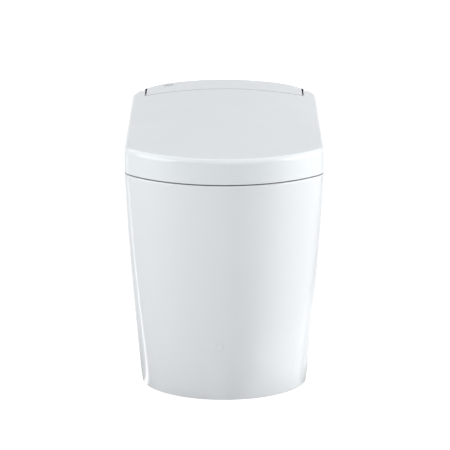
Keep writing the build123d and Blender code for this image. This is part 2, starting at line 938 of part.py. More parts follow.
def make_seat():
    shell_z = seat_z + seat_base_thickness
    shell = seat_blank(0, shell_z, seat_top_z)
    top_face = shell.faces().sort_by(Axis.Z)[-1]
    shell = fillet(top_face.outer_wire().edges(), seat_outer_radius)
    top_face = shell.faces().sort_by(Axis.Z)[-1]
    shell = fillet(top_face.inner_wires()[0].edges(), seat_inner_radius)
    shell -= hinge_disc(seat_hinge_radius, seat_arm_inner_x() - seat_joint_gap)
    cavity = seat_ring(seat_wall, shell_z - overrun, seat_top_z - seat_wall)
    root = slab(
        seat_arm_inner_x() - seat_wall,
        seat_arm_outer_x() + seat_wall,
        arm_front_y - seat_wall,
        seat_back_y,
        seat_z - overrun,
        seat_top_z,
    )
    shell -= cavity - on_both_sides(root)
    shell += on_both_sides(seat_arm())
    shell -= hinge_disc(shaft_radius + bush_wall)
    parts["seat_top"] = shell

    parts["seat_base"] = seat_ring(0, seat_z, shell_z) - on_both_sides(arm_room())

    foil_z = seat_top_z - seat_wall - seat_joint_gap
    foil = seat_ring(seat_wall + foil_margin, foil_z - foil_thickness, foil_z)
    parts["seat_heater"] = foil - on_both_sides(root)

    pads = []
    for x, y in buffer_places(seat_buffer_inset, seat_buffer_ys):
        pad = slab(
            x - seat_buffer_width / 2,
            x + seat_buffer_width / 2,
            y - seat_buffer_length / 2,
            y + seat_buffer_length / 2,
            rim_z + buffer_gap,
            seat_z,
        )
        pads.append(fillet(pad.edges().filter_by(Axis.Z), seat_buffer_width / 3))
    parts["seat_buffers"] = Compound(children=pads)

    bush = rod_x(shaft_radius + bush_wall, seat_arm_inner_x(), seat_arm_outer_x(), hinge_y, hinge_z)
    bush -= hinge_disc(shaft_radius + running_gap)
    parts["seat_bushes"] = on_both_sides(bush)


def buffer_places(inset, ys):
    """Places of four rubber buffers, two on each side."""
    return [(hand * (half_width - inset), y) for hand in (-1, 1) for y in ys]


def arm_room():
    """Room in the seat's base for the foot of an arm."""
    return slab(
        seat_arm_inner_x() - seat_joint_gap,
        seat_arm_outer_x() + seat_joint_gap,
        arm_front_y - seat_joint_gap,
        seat_back_y + overrun,
        seat_z - overrun,
        seat_top_z,
    )


def seat_arm():
    """The right arm, from the ring's rear corner to the hinge boss."""
    shell_z = seat_z + seat_base_thickness
    outline = Polyline(
        (arm_front_y, shell_z),
        (arm_heel_y, arm_heel_z),
        (hinge_y, hinge_z - boss_radius),
        (hinge_y, hinge_z + boss_radius),
        (hinge_y - 2 * boss_radius, hinge_z + boss_radius / 2),
        (arm_front_y, seat_top_z - seat_outer_radius),
        close=True,
    )
    plane = Plane(origin=(seat_arm_inner_x(), 0, 0), x_dir=(0, 1, 0), z_dir=(1, 0, 0))
    arm = extrude(plane * make_face(outline), amount=arm_thickness)
    arm += rod_x(boss_radius, seat_arm_inner_x(), seat_arm_outer_x(), hinge_y, hinge_z)
    return arm


# Lid


def make_lid():
    top_z = front_top_z + crown_rise + overrun
    outside = upper_form(0, 0, cover_edge_z())
    bottom_edges = outside.edges().filter_by(
        lambda edge: abs(edge.center().Z - cover_edge_z()) < running_gap
    )
    outside = fillet(bottom_edges, cover_edge_radius)
    inside = upper_form(lid_wall, lid_wall, rim_z)
    reach = half_width + overrun
    ear_x = housing_half_width + ear_gap

    def lid_space(shrink, ear_low_x):
        """The lid's reach around the hinge, with its ears."""
        front = slab(-reach, reach, front_y - overrun, hinge_y, rim_z, top_z)
        front -= hinge_disc(seam_radius + hinge_gap + shrink, ear_x)
        ears = on_both_sides(rod_x(ear_radius() - shrink, ear_low_x, reach, hinge_y, hinge_z))
        return front + ears

    hollow = inside & lid_space(0, ear_x)
    hollow -= ear_rear_wall(ear_radius(), lid_web_inner_x())
    lid = outside & lid_space(0, ear_x)
    lid -= hollow
    web = slab(
        lid_web_inner_x(),
        lid_web_inner_x() + lid_web_thickness,
        hinge_y - lid_web_half_length,
        hinge_y + lid_web_half_length,
        hinge_z,
        top_z,
    )
    web += rod_x(boss_radius, lid_web_inner_x(), lid_web_inner_x() + lid_web_thickness, hinge_y, hinge_z)
    lid += on_both_sides(web) & upper_form(lid_wall / 2, lid_wall / 2, rim_z)
    lid -= hinge_disc(shaft_radius + bush_wall, lid_web_inner_x() + lid_web_thickness)
    behind = slab(
        ear_x - running_gap,
        lid_web_inner_x(),
        hinge_y + boss_radius,
        hinge_y + 2 * ear_radius(),
        rim_z,
        top_z,
    )
    lid -= on_both_sides(behind)
    parts["lid_shell"] = lid

    liner = upper_form(lid_wall + liner_gap, lid_wall, rim_z)
    liner &= slab(-reach, reach, front_y, hinge_y, liner_z, liner_z + liner_thickness)
    liner -= hinge_disc(liner_hinge_radius)
    liner_end_y = hinge_y - liner_hinge_radius + lid_wall
    liner &= slab(-reach, reach, front_y, liner_end_y, liner_z, liner_z + liner_thickness)
    parts["lid_liner"] = liner

    pads = []
    for x, y in buffer_places(lid_buffer_inset, lid_buffer_ys):
        pad = slab(
            x - lid_buffer_width / 2,
            x + lid_buffer_width / 2,
            y - lid_buffer_length / 2,
            y + lid_buffer_length / 2,
            seat_top_z + buffer_gap,
            liner_z,
        )
        pads.append(fillet(pad.edges().filter_by(Axis.Z), lid_buffer_width / 3))
    parts["lid_buffers"] = Compound(children=pads)

    bush = rod_x(
        shaft_radius + bush_wall, lid_web_inner_x(), lid_web_inner_x() + lid_web_thickness, hinge_y, hinge_z
    )
    bush -= hinge_disc(shaft_radius + running_gap)
    parts["lid_bushes"] = on_both_sides(bush)


def ear_rear_wall(radius, low_x):
    """The curved wall that closes each lid ear behind the hinge."""
    reach = half_width + overrun
    ring = rod_x(radius, low_x, reach, hinge_y, hinge_z)
    ring -= rod_x(radius - lid_wall, low_x, reach, hinge_y, hinge_z)
    ring &= slab(low_x, reach, hinge_y, hinge_y + 2 * radius, rim_z, hinge_z + 2 * radius)
    return on_both_sides(ring)


# Nozzle unit


def nozzle_frame():
    """Frame with its origin at the wand's tip and +Y back along the wand."""
    return Location((nozzle_x, nozzle_tip_y, nozzle_tip_z), (nozzle_tilt_deg, 0, 0))


def pitch_radius():
    return tooth_module * pinion_teeth / 2


def rack_line_z():
    """Height of the rack's pitch line in the nozzle frame."""
    return -rack_root_depth - dedendum_share * tooth_module


def pinion_axis_z():
    return rack_line_z() - pitch_radius()


def rack_solid():
    """The rack under the wand, with straight flanks at the pressure angle."""
    pitch = math.pi * tooth_module
    lean = math.tan(math.radians(pressure_deg))
    tip = addendum_share * tooth_module
    root = dedendum_share * tooth_module
    half = pitch / 4 - tooth_backlash / 2
    line_z = rack_line_z()
    phase = pinion_place + pitch / 2
    first = phase - round((phase - rack_start) / pitch) * pitch
    top_z = -wand_radius / 2
    points = [(first - pitch, top_z), (first - pitch, line_z + root)]
    for index in range(rack_teeth):
        middle = first + index * pitch
        points.append((middle - half - root * lean, line_z + root))
        points.append((middle - half + tip * lean, line_z - tip))
        points.append((middle + half - tip * lean, line_z - tip))
        points.append((middle + half + root * lean, line_z + root))
    last = first + rack_teeth * pitch
    points += [(last, line_z + root), (last, top_z)]
    plane = Plane(origin=(-rack_half_width, 0, 0), x_dir=(0, 1, 0), z_dir=(1, 0, 0))
    return extrude(plane * make_face(Polyline(*points, close=True)), amount=2 * rack_half_width)


def pinion_profile():
    """Involute outline of the pinion, one tooth pointing along +Z."""
    pitch_r = pitch_radius()
    base_r = pitch_r * math.cos(math.radians(pressure_deg))
    tip_r = pitch_r + addendum_share * tooth_module
    root_r = pitch_r - dedendum_share * tooth_module
    start_r = max(base_r, root_r)

    def involute(radius):
        angle = math.acos(base_r / radius)
        return math.tan(angle) - angle

    half_at_pitch = (math.pi * tooth_module / 4 - tooth_backlash / 2) / pitch_r
    points = []
    for tooth in range(pinion_teeth):
        middle = math.pi / 2 + 2 * math.pi * tooth / pinion_teeth
        flank = []
        for step in range(flank_steps + 1):
            radius = start_r + (tip_r - start_r) * step / flank_steps
            half = half_at_pitch + involute(pitch_r) - involute(radius)
            flank.append((radius, half))
        low_half = flank[0][1]
        points.append((root_r * math.cos(middle - low_half), root_r * math.sin(middle - low_half)))
        for radius, half in flank:
            points.append((radius * math.cos(middle - half), radius * math.sin(middle - half)))
        for radius, half in reversed(flank):
            points.append((radius * math.cos(middle + half), radius * math.sin(middle + half)))
        points.append((root_r * math.cos(middle + low_half), root_r * math.sin(middle + low_half)))
    return make_face(Polyline(*points, close=True))


def make_nozzle():
    place = nozzle_frame()
    wand = rod_y(wand_radius, 0, head_length, wand_length, 0)
    wand += rack_solid()
    wand -= rod_y(wand_bore_radius, 0, head_length - overrun, wand_length + overrun, 0)
    parts["nozzle_wand"] = place * wand

    head = rod_y(head_radius, 0, head_flange_length, head_length - running_gap, 0)
    head += rod_y(head_flange_radius, 0, 0, head_flange_length, 0)
    head -= slab(
        -head_radius,
        head_radius,
        head_flange_length,
        head_length - head_flange_length,
        head_radius - head_flange_length / 2,
        2 * head_radius,
    )
    for index in (-1, 0, 1):
        y = head_length / 2 + index * spray_hole_pitch
        head -= rod_z(spray_hole_radius, 0, y, 0, 2 * head_radius)
    parts["nozzle_head"] = place * head

    make_nozzle_guide(place)
    make_nozzle_drive(place)


def make_nozzle_guide(place):
    channel = wand_radius + guide_channel_gap
    guide = slab(-guide_half_width, guide_half_width, guide_front, guide_back, -guide_floor, guide_wall_top)
    channel_end = guide_back - overrun / 2
    guide -= slab(-channel, channel, guide_front - overrun, channel_end, -channel, guide_half_width)
    guide -= slab(
        -guide_slot_half_width,
        guide_slot_half_width,
        guide_front - overrun,
        guide_back - overrun / 2,
        -guide_floor - overrun,
        0,
    )
    for y in hoop_places:
        hoop = slab(
            -guide_half_width, guide_half_width, y, y + hoop_length, guide_wall_top, channel + hoop_thickness
        )
        hoop -= slab(-channel, channel, y - overrun, y + hoop_length + overrun, -channel, channel)
        guide += hoop
    plate_low_x = -guide_half_width - motor_plate_thickness
    plate_reach = motor_radius + motor_plate_margin
    plate = slab(
        plate_low_x,
        -guide_half_width,
        pinion_place - plate_reach,
        pinion_place + plate_reach,
        pinion_axis_z() - motor_radius / 2,
        0,
    )
    plate -= rod_x(motor_boss_radius, plate_low_x - overrun, 0, pinion_place, pinion_axis_z())
    guide += plate
    guide = place * guide

    tilt = math.radians(nozzle_tilt_deg)

    def underside_z(y):
        """Height of the guide's underside above a place along the toilet."""
        axis_z = nozzle_tip_z + (y - nozzle_tip_y) * math.tan(tilt)
        return axis_z - guide_floor / math.cos(tilt)

    side = guide_half_width - guide_slot_half_width
    for x_low in (nozzle_x - guide_half_width, nozzle_x + guide_half_width - side):
        rear = slab(
            x_low,
            x_low + side,
            guide_post_y,
            guide_post_y + guide_post_length,
            cover_z + seat_contact_gap,
            underside_z(guide_post_y) + guide_post_length / 2,
        )
        front = slab(
            x_low,
            x_low + side,
            front_post_y + guide_post_length,
            front_post_y + 2 * guide_post_length,
            trough_floor_z + seat_contact_gap,
            underside_z(front_post_y + guide_post_length) + guide_post_length / 2,
        )
        guide += rear + front
    parts["nozzle_guide"] = guide


def make_nozzle_drive(place):
    axis_z = pinion_axis_z()
    profile = pinion_profile()
    plane = Plane(origin=(-pinion_half_width, pinion_place, axis_z), x_dir=(0, 1, 0), z_dir=(1, 0, 0))
    pinion = extrude(plane * profile, amount=2 * pinion_half_width)
    shaft_end = -guide_half_width - motor_plate_thickness - seat_contact_gap
    pinion += rod_x(pinion_shaft_radius, shaft_end + running_gap, -pinion_half_width, pinion_place, axis_z)
    parts["nozzle_pinion"] = place * pinion

    motor = rod_x(motor_radius, shaft_end - motor_length, shaft_end, pinion_place, axis_z)
    motor += slab(
        shaft_end - motor_length,
        shaft_end - motor_length / 4,
        pinion_place - motor_radius / 2,
        pinion_place + motor_radius / 2,
        axis_z - motor_radius - motor_plate_margin,
        axis_z,
    )
    parts["nozzle_motor"] = place * motor


# Dryer


def make_dryer():
    top_z = blower_z + blower_height
    scroll = blower_scroll(0, blower_z, top_z, duct_back_y)
    room_low = blower_z + blower_wall
    room = blower_scroll(blower_wall, room_low, top_z - blower_wall, duct_back_y - overrun)
    case = scroll - room
    case -= rod_z(wheel_radius / 2, blower_x, blower_y, top_z - 2 * blower_wall, top_z + overrun)
    for step in range(3):
        angle = 2 * math.pi * step / 3
        foot_x = blower_x + wheel_radius * math.cos(angle)
        foot_y = blower_y + wheel_radius * math.sin(angle)
        case += rod_z(post_radius, foot_x, foot_y, cover_z + seat_contact_gap, blower_z)
    case += rod_z(spindle_radius, blower_x, blower_y, blower_z, blower_z + blower_height / 2)
    parts["blower_case"] = case

    wheel_low = blower_z + blower_wall + blower_gap()
    wheel = rod_z(wheel_radius, blower_x, blower_y, wheel_low, wheel_low + blade_thickness)
    wheel += rod_z(wheel_hub_radius, blower_x, blower_y, wheel_low, wheel_low + wheel_height)
    blade_length = wheel_radius / 3
    blade = slab(
        wheel_radius - blade_length,
        wheel_radius - blade_thickness / 2,
        -blade_thickness / 2,
        blade_thickness / 2,
        wheel_low,
        wheel_low + wheel_height,
    )
    for index in range(wheel_blades):
        wheel += Pos(blower_x, blower_y, 0) * Rot(0, 0, 360 / wheel_blades * index) * blade
    bore_top = blower_z + blower_height / 2 + blower_gap()
    wheel -= rod_z(spindle_radius + running_gap, blower_x, blower_y, blower_z, bore_top)
    parts["blower_wheel"] = wheel

    make_duct()


def blower_gap():
    return 2 * flap_gap


def blower_scroll(inset, z_low, z_high, outlet_y):
    """A spiral blower case of three growing arcs, with a straight outlet to the front."""
    radii = [scroll_least_radius + scroll_growth * step / 3 - inset for step in range(4)]
    quarter = math.pi / 2

    def at(radius, angle):
        return (blower_x + radius * math.cos(angle), blower_y + radius * math.sin(angle))

    outline = []
    for step in range(3):
        turn = quarter * (step - 1)
        middle = at((radii[step] + radii[step + 1]) / 2, turn + quarter / 2)
        outline.append(ThreePointArc(at(radii[step], turn), middle, at(radii[step + 1], turn + quarter)))
    left = duct_left_x + inset
    right = duct_left_x + duct_width - inset
    tail = [
        at(radii[3], 2 * quarter),
        (left, outlet_y),
        (right, outlet_y),
        (right, duct_back_y),
        at(radii[0], -quarter),
    ]
    if outlet_y == duct_back_y:
        tail.pop(3)
    outline.append(Polyline(*tail))
    return extrude(Pos(0, 0, z_low) * make_face(outline), amount=z_high - z_low)


def duct_profile(drop, y_front, y_back):
    """Side view of the duct, which falls from the blower to its mouth, drawn in by a drop."""
    reach = duct_back_y - duct_mouth_y
    top_slope = (blower_z + blower_height - mouth_top_z) / reach
    bottom_slope = (blower_z - mouth_bottom_z) / reach

    def top(y):
        return mouth_top_z + top_slope * (y - duct_mouth_y) - drop

    def bottom(y):
        return mouth_bottom_z + bottom_slope * (y - duct_mouth_y) + drop

    corners = [(y_front, bottom(y_front)), (y_back, bottom(y_back))]
    corners += [(y_back, top(y_back)), (y_front, top(y_front))]
    return Polyline(*corners, close=True)


def side_plane(x):
    """Sketch plane that looks along X, with its own axes along Y and Z."""
    return Plane(origin=(x, 0, 0), x_dir=(0, 1, 0), z_dir=(1, 0, 0))


def make_duct():
    right_x = duct_left_x + duct_width
    profile = make_face(duct_profile(0, duct_mouth_y, duct_back_y))
    duct = extrude(side_plane(duct_left_x) * profile, amount=duct_width)
    inner_width = duct_width - 2 * duct_wall
    room = make_face(duct_profile(duct_wall, duct_mouth_y - overrun, duct_back_y + overrun))
    duct -= extrude(side_plane(duct_left_x + duct_wall) * room, amount=inner_width)
    pin_y = duct_mouth_y - flap_gap - flap_thickness / 2
    pin_z = mouth_top_z - flap_thickness
    for low_x in (duct_left_x - flap_ear_thickness, right_x):
        duct += slab(
            low_x,
            low_x + flap_ear_thickness,
            pin_y - 2 * flap_pin_radius,
            duct_mouth_y + overrun,
            pin_z - 2 * flap_pin_radius,
            pin_z + 2 * flap_pin_radius,
        )
    duct -= rod_x(flap_pin_radius + running_gap, duct_left_x - overrun, right_x + overrun, pin_y, pin_z)
    parts["dryer_duct"] = duct

    flap = slab(
        duct_left_x + flap_gap,
        right_x - flap_gap,
        pin_y - flap_thickness / 2,
        pin_y + flap_thickness / 2,
        mouth_bottom_z,
        pin_z,
    )
    pin_low_x = duct_left_x - flap_ear_thickness
    flap += rod_x(flap_pin_radius, pin_low_x, right_x + flap_ear_thickness, pin_y, pin_z)
    parts["dryer_flap"] = flap

    front = heater_back_y - heater_length
    fin_face = make_face(duct_profile(duct_wall + heater_gap, front, heater_back_y))
    first_x = duct_left_x + duct_wall + heater_gap
    pitch = (inner_width - 2 * heater_gap - heater_fin_thickness) / (heater_fins - 1)
    heater = extrude(side_plane(first_x) * fin_face, amount=heater_fin_thickness)
    for index in range(1, heater_fins):
        heater += extrude(side_plane(first_x + index * pitch) * fin_face, amount=heater_fin_thickness)
    middle_y = heater_back_y - heater_length / 2
    middle_z = (duct_middle_z(front) + duct_middle_z(heater_back_y)) / 2
    heater += rod_x(heater_fin_thickness, first_x, first_x + (heater_fins - 1) * pitch, middle_y, middle_z)
    parts["dryer_heater"] = heater


def duct_middle_z(y):
    """Height of the duct's middle at a place along the toilet."""
    share = (y - duct_mouth_y) / (duct_back_y - duct_mouth_y)
    mouth_middle = (mouth_top_z + mouth_bottom_z) / 2
    return mouth_middle + share * (blower_z + blower_height / 2 - mouth_middle)


# Deodoriser


def make_deodoriser():
    low, high = deodor_z, deodor_z + deodor_height
    fan_x = (deodor_left_x + deodor_right_x) / 2
    case = slab(deodor_left_x, deodor_right_x, deodor_front_y, deodor_back_y, low, high)
    case -= slab(
        deodor_left_x + deodor_wall,
        deodor_right_x - deodor_wall,
        deodor_front_y - overrun,
        deodor_back_y - deodor_wall,
        low + deodor_wall,
        high - deodor_wall,
    )
    air_radius = deodor_fan_radius - deodor_wall
    case -= rod_z(air_radius, fan_x, deodor_fan_y, high - 2 * deodor_wall, high + overrun)
    case += rod_z(spindle_radius, fan_x, deodor_fan_y, low + deodor_wall / 2, low + deodor_height / 2)
    parts["deodoriser_case"] = case

    fan_low = low + deodor_wall + blower_gap()
    fan_high = high - deodor_wall - blower_gap()
    fan = rod_z(wheel_hub_radius, fan_x, deodor_fan_y, fan_low, fan_high)
    blade = Pos(deodor_fan_radius / 2, 0, (fan_low + fan_high) / 2) * Rot(fan_blade_tilt_deg, 0, 0)
    blade *= Box(deodor_fan_radius - 2 * blade_thickness, blade_thickness, (fan_high - fan_low))
    for index in range(deodor_blades):
        fan += Pos(fan_x, deodor_fan_y, 0) * Rot(0, 0, 360 / deodor_blades * index) * blade
    fan &= rod_z(deodor_fan_radius, fan_x, deodor_fan_y, fan_low, fan_high)
    bore_top = low + deodor_height / 2 + blower_gap()
    fan -= rod_z(spindle_radius + running_gap, fan_x, deodor_fan_y, low, bore_top)
    parts["deodoriser_fan"] = fan

    cassette = slab(
        deodor_left_x + deodor_wall + cassette_gap,
        deodor_right_x - deodor_wall - cassette_gap,
        deodor_front_y,
        deodor_front_y + cassette_depth,
        low + deodor_wall + cassette_gap,
        high - deodor_wall - cassette_gap,
    )
    slot_pitch = (deodor_right_x - deodor_left_x - 2 * deodor_wall) / (cassette_slots + 1)
    for index in range(cassette_slots):
        slot_x = deodor_left_x + deodor_wall + slot_pitch * (index + 1)
        cassette -= slab(
            slot_x - slot_pitch / 4,
            slot_x + slot_pitch / 4,
            deodor_front_y - overrun,
            deodor_front_y + cassette_depth + overrun,
            low + 3 * deodor_wall,
            high - 3 * deodor_wall,
        )
    parts["filter_cassette"] = cassette


# Flushing


def make_flushing():
    tank = slab(tank_left_x, tank_right_x, tank_front_y, tank_back_y, tank_bottom_z, tank_top_z)
    tank = fillet(tank.edges().filter_by(Axis.Z), tank_corner_radius)
    room = slab(
        tank_left_x + tank_wall,
        tank_right_x - tank_wall,
        tank_front_y + tank_wall,
        tank_back_y - tank_wall,
        tank_bottom_z + tank_wall,
        tank_top_z + overrun,
    )
    room = fillet(room.edges().filter_by(Axis.Z), tank_corner_radius - tank_wall)
    brim = tank_plate(tank_top_z - tank_flange_thickness, tank_top_z)
    parts["flush_tank"] = tank + brim - room

    cover_low = tank_top_z + seat_contact_gap
    cover = tank_plate(cover_low, cover_low + tank_cover_thickness)
    for x in (tank_left_x + tank_post_inset, tank_right_x - tank_post_inset):
        for y in (tank_front_y + tank_post_inset, tank_back_y - tank_post_inset):
            cover += rod_z(tank_post_radius, x, y, cover_low, rim_z - seat_contact_gap)
    parts["tank_cover"] = cover

    pump = rod_z(pump_radius, pump_x, pump_y, pump_bottom_z, pump_flange_z)
    flange_top = pump_flange_z + pump_flange_thickness
    pump += rod_z(pump_flange_radius, pump_x, pump_y, pump_flange_z + seat_contact_gap, flange_top)
    pump += rod_z(pump_radius, pump_x, pump_y, pump_flange_z, flange_top)
    pump += rod_z(cap_radius, pump_x, pump_y, pump_flange_z, flange_top + cap_height)
    pump += rod_z(volute_radius, pump_x, pump_y, pump_bottom_z - volute_height, pump_bottom_z)
    port_z = pump_bottom_z - volute_height / 2
    pump += rod_y(pump_port_radius, pump_x, pump_y - volute_radius - pump_port_length, pump_y, port_z)
    inlet_z = pump_bottom_z + 2 * pump_port_radius
    pump += rod_x(pump_port_radius, tank_right_x + seat_contact_gap, pump_x, pump_y, inlet_z)
    parts["flush_pump"] = pump

    web_top = rim_z - seat_contact_gap
    leg_inner = bracket_half_width - bracket_steel
    bracket = slab(
        pump_x - bracket_half_width,
        pump_x + bracket_half_width,
        pump_y - bracket_half_length,
        pump_y + bracket_half_length,
        web_top - bracket_steel,
        web_top,
    )
    shelf_inner = pump_radius + pump_body_gap
    for hand in (-1, 1):
        leg_x = sorted((pump_x + hand * leg_inner, pump_x + hand * bracket_half_width))
        shelf_x = sorted((pump_x + hand * shelf_inner, pump_x + hand * bracket_half_width))
        y_low = pump_y - bracket_half_length
        y_high = pump_y + bracket_half_length
        bracket += slab(*leg_x, y_low, y_high, pump_flange_z - bracket_steel, web_top)
        bracket += slab(*shelf_x, y_low, y_high, pump_flange_z - bracket_steel, pump_flange_z)
    parts["pump_bracket"] = bracket

    jet_points = (
        (pump_x, pump_y - volute_radius - pump_port_length - seat_contact_gap, port_z),
        (pump_x, pump_y - volute_radius - pump_port_length - jet_lead, port_z),
        (pump_x, jet_port_y, jet_port_z),
        (jet_port_reach + seat_contact_gap, jet_port_y, jet_port_z),
    )
    parts["jet_hose"] = tube_along(jet_points, jet_bend_radii, jet_hose_radius)


def tank_plate(z_low, z_high):
    """The brim of the tank, or its cover, between two heights."""
    plate = slab(
        tank_left_x - tank_flange,
        tank_right_x + tank_flange,
        tank_front_y - tank_flange,
        tank_back_y + tank_flange,
        z_low,
        z_high,
    )
    return fillet(plate.edges().filter_by(Axis.Z), tank_corner_radius + tank_flange)


# Water supply


def make_water_supply():
    top = tank_bottom_z - seat_contact_gap
    low = top - valve_height
    middle_z = (low + top) / 2
    middle_x = (valve_left_x + valve_right_x) / 2
    valve = slab(valve_left_x, valve_right_x, valve_front_y, valve_back_y, low, top)
    valve += rod_y(coil_radius, middle_x, valve_front_y - coil_length, valve_front_y, middle_z)
    parts["inlet_valve"] = valve

    hex_top = low - seat_contact_gap
    hex_low = hex_top - inlet_hex_height
    union = extrude(Pos(inlet_x, inlet_y, hex_low) * RegularPolygon(inlet_hex, 6), amount=inlet_hex_height)
    union += rod_z(inlet_radius, inlet_x, inlet_y, hex_low - inlet_length, hex_low)
    bore_low = hex_low - inlet_length - overrun
    union -= rod_z(inlet_bore_radius, inlet_x, inlet_y, bore_low, hex_top - filter_wall)
    parts["water_inlet"] = union

    filter_top = hex_top - filter_wall - seat_contact_gap
    strainer = rod_z(filter_radius, inlet_x, inlet_y, filter_top - filter_length, filter_top)
    room_low = filter_top - filter_length - overrun
    strainer -= rod_z(filter_radius - filter_wall, inlet_x, inlet_y, room_low, filter_top - filter_wall)
    parts["inlet_filter"] = strainer

    heater = slab(
        heater_left_x, heater_right_x, heater_front_y, heater_rear_y, heater_z, heater_z + heater_height
    )
    heater = fillet(heater.edges().filter_by(Axis.Y), heater_edge_radius)
    heater += rod_x(nipple_radius, heater_left_x - nipple_length, heater_left_x, wash_hose_y, wash_hose_z)
    parts["instant_heater"] = heater

    hose_x = heater_left_x + supply_hose_inset
    supply_points = (
        (valve_right_x + seat_contact_gap, supply_hose_y, middle_z),
        (hose_x, supply_hose_y, middle_z),
        (hose_x, supply_hose_y, heater_z - seat_contact_gap),
    )
    parts["supply_hose"] = tube_along(supply_points, (supply_bend_radius,), hose_radius)

    place = nozzle_frame()
    leave = (place * Pos(0, guide_back + seat_contact_gap, 0)).position
    turn = (place * Pos(0, guide_back + wash_hose_lead, 0)).position
    nipple_x = heater_left_x - nipple_length - seat_contact_gap
    wash_points = (
        tuple(leave),
        tuple(turn),
        (nipple_x - wash_hose_lead, wash_hose_y, wash_hose_z),
        (nipple_x, wash_hose_y, wash_hose_z),
    )
    parts["wash_hose"] = tube_along(wash_points, wash_bend_radii, hose_radius - running_gap)


# Electrics


def make_electrics():
    case = slab(case_left_x, case_right_x, case_front_y, case_back_y, case_z, case_z + case_height)
    case -= slab(
        case_left_x + case_wall,
        case_right_x - case_wall,
        case_front_y + case_wall,
        case_back_y - case_wall,
        case_z + case_wall,
        case_z + case_height + overrun,
    )
    board_inset = 2 * case_wall
    stand_off = 3 * case_wall
    for x in (case_left_x + stand_off, case_right_x - stand_off):
        for y in (case_front_y + stand_off, case_back_y - stand_off):
            case += rod_z(case_wall, x, y, case_z, case_z + board_height)
    parts["control_case"] = case

    board_low = case_z + board_height + seat_contact_gap
    board_top = board_low + board_thickness
    board = slab(
        case_left_x + board_inset,
        case_right_x - board_inset,
        case_front_y + board_inset,
        case_back_y - board_inset,
        board_low,
        board_top,
    )
    middle_x = (case_left_x + case_right_x) / 2
    for share, size in zip(board_block_shares, board_block_sizes):
        y = case_front_y + share * (case_back_y - case_front_y)
        y_low = y - size / 2
        board += slab(middle_x - size, middle_x + size, y_low, y_low + size, board_low, board_top + size)
    parts["control_board"] = board

    power = slab(
        power_left_x, power_right_x, power_front_y, power_back_y, case_z, case_z + power_height
    )
    parts["power_module"] = fillet(power.edges().filter_by(Axis.Z), heater_edge_radius)

    gland_top = case_z - seat_contact_gap / 2
    gland = rod_z(gland_radius, gland_x, gland_y, gland_top - gland_length, gland_top)
    gland += rod_z(
        gland_radius + bush_wall, gland_x, gland_y, rim_z - 2 * bush_wall, rim_z - seat_contact_gap
    )
    bore_low = gland_top - gland_length - overrun
    gland -= rod_z(gland_bore_radius, gland_x, gland_y, bore_low, gland_top + overrun)
    parts["cord_gland"] = gland


def make_foot_sensor():
    """The round sensor window, flush with the sloping front of the ceramic."""
    back = foot_front_y + skirt_wall
    puck = rod_y(sensor_radius, sensor_x, front_y - overrun, back + 2 * sensor_flange_thickness, sensor_z)
    puck &= skirt_form(0, rim_z)
    flange_low = back + sensor_gap
    flange = rod_y(sensor_flange_radius, sensor_x, flange_low, flange_low + sensor_flange_thickness, sensor_z)
    flange &= skirt_form(skirt_wall + sensor_gap, rim_z)
    parts["foot_sensor"] = puck + flange


def main():
    make_ceramic()
    make_floor_pieces()
    make_foot_sensor()
    make_chassis()
    make_housing()
    make_flush_button()
    make_hinge()
    make_seat()
    make_lid()
    make_nozzle()
    make_dryer()
    make_deodoriser()
    make_flushing()
    make_water_supply()
    make_electrics()
    os.makedirs("parts", exist_ok=True)
    for name, shape in parts.items():
        export_step(shape, f"parts/{name}.step")


main()
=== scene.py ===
import json
import math

import bpy
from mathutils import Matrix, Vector

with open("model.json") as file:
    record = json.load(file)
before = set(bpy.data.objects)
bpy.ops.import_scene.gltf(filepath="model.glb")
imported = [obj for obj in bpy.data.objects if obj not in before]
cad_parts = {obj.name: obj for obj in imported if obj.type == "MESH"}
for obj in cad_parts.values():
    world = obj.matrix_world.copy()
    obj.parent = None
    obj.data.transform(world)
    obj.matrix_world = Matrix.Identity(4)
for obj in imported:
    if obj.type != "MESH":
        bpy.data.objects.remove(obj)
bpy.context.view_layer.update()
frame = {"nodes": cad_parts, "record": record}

scene = bpy.context.scene
scene.view_settings.view_transform = "Standard"


# Node helpers

SHADE_SAMPLES = 8
# Noise seldom leaves this range
NOISE_LOW = 0.3
NOISE_HIGH = 0.7
OPAQUE = 1.0


def combine(tree, operation, first, second):
    """A Math node on two values, each a number or a node's output."""
    node = tree.nodes.new("ShaderNodeMath")
    node.operation = operation
    for socket, value in zip(node.inputs, (first, second)):
        if isinstance(value, (int, float)):
            socket.default_value = value
        else:
            tree.links.new(value, socket)
    return node.outputs[0]


def set_stops(ramp, stops):
    """Gives a colour ramp grey stops, each a position and a level, in rising order."""
    elements = ramp.elements
    while len(elements) > 1:
        elements.remove(elements[-1])
    for index, (position, level) in enumerate(stops):
        element = elements[0] if index == 0 else elements.new(position)
        element.position = position
        element.color = (level, level, level, OPAQUE)


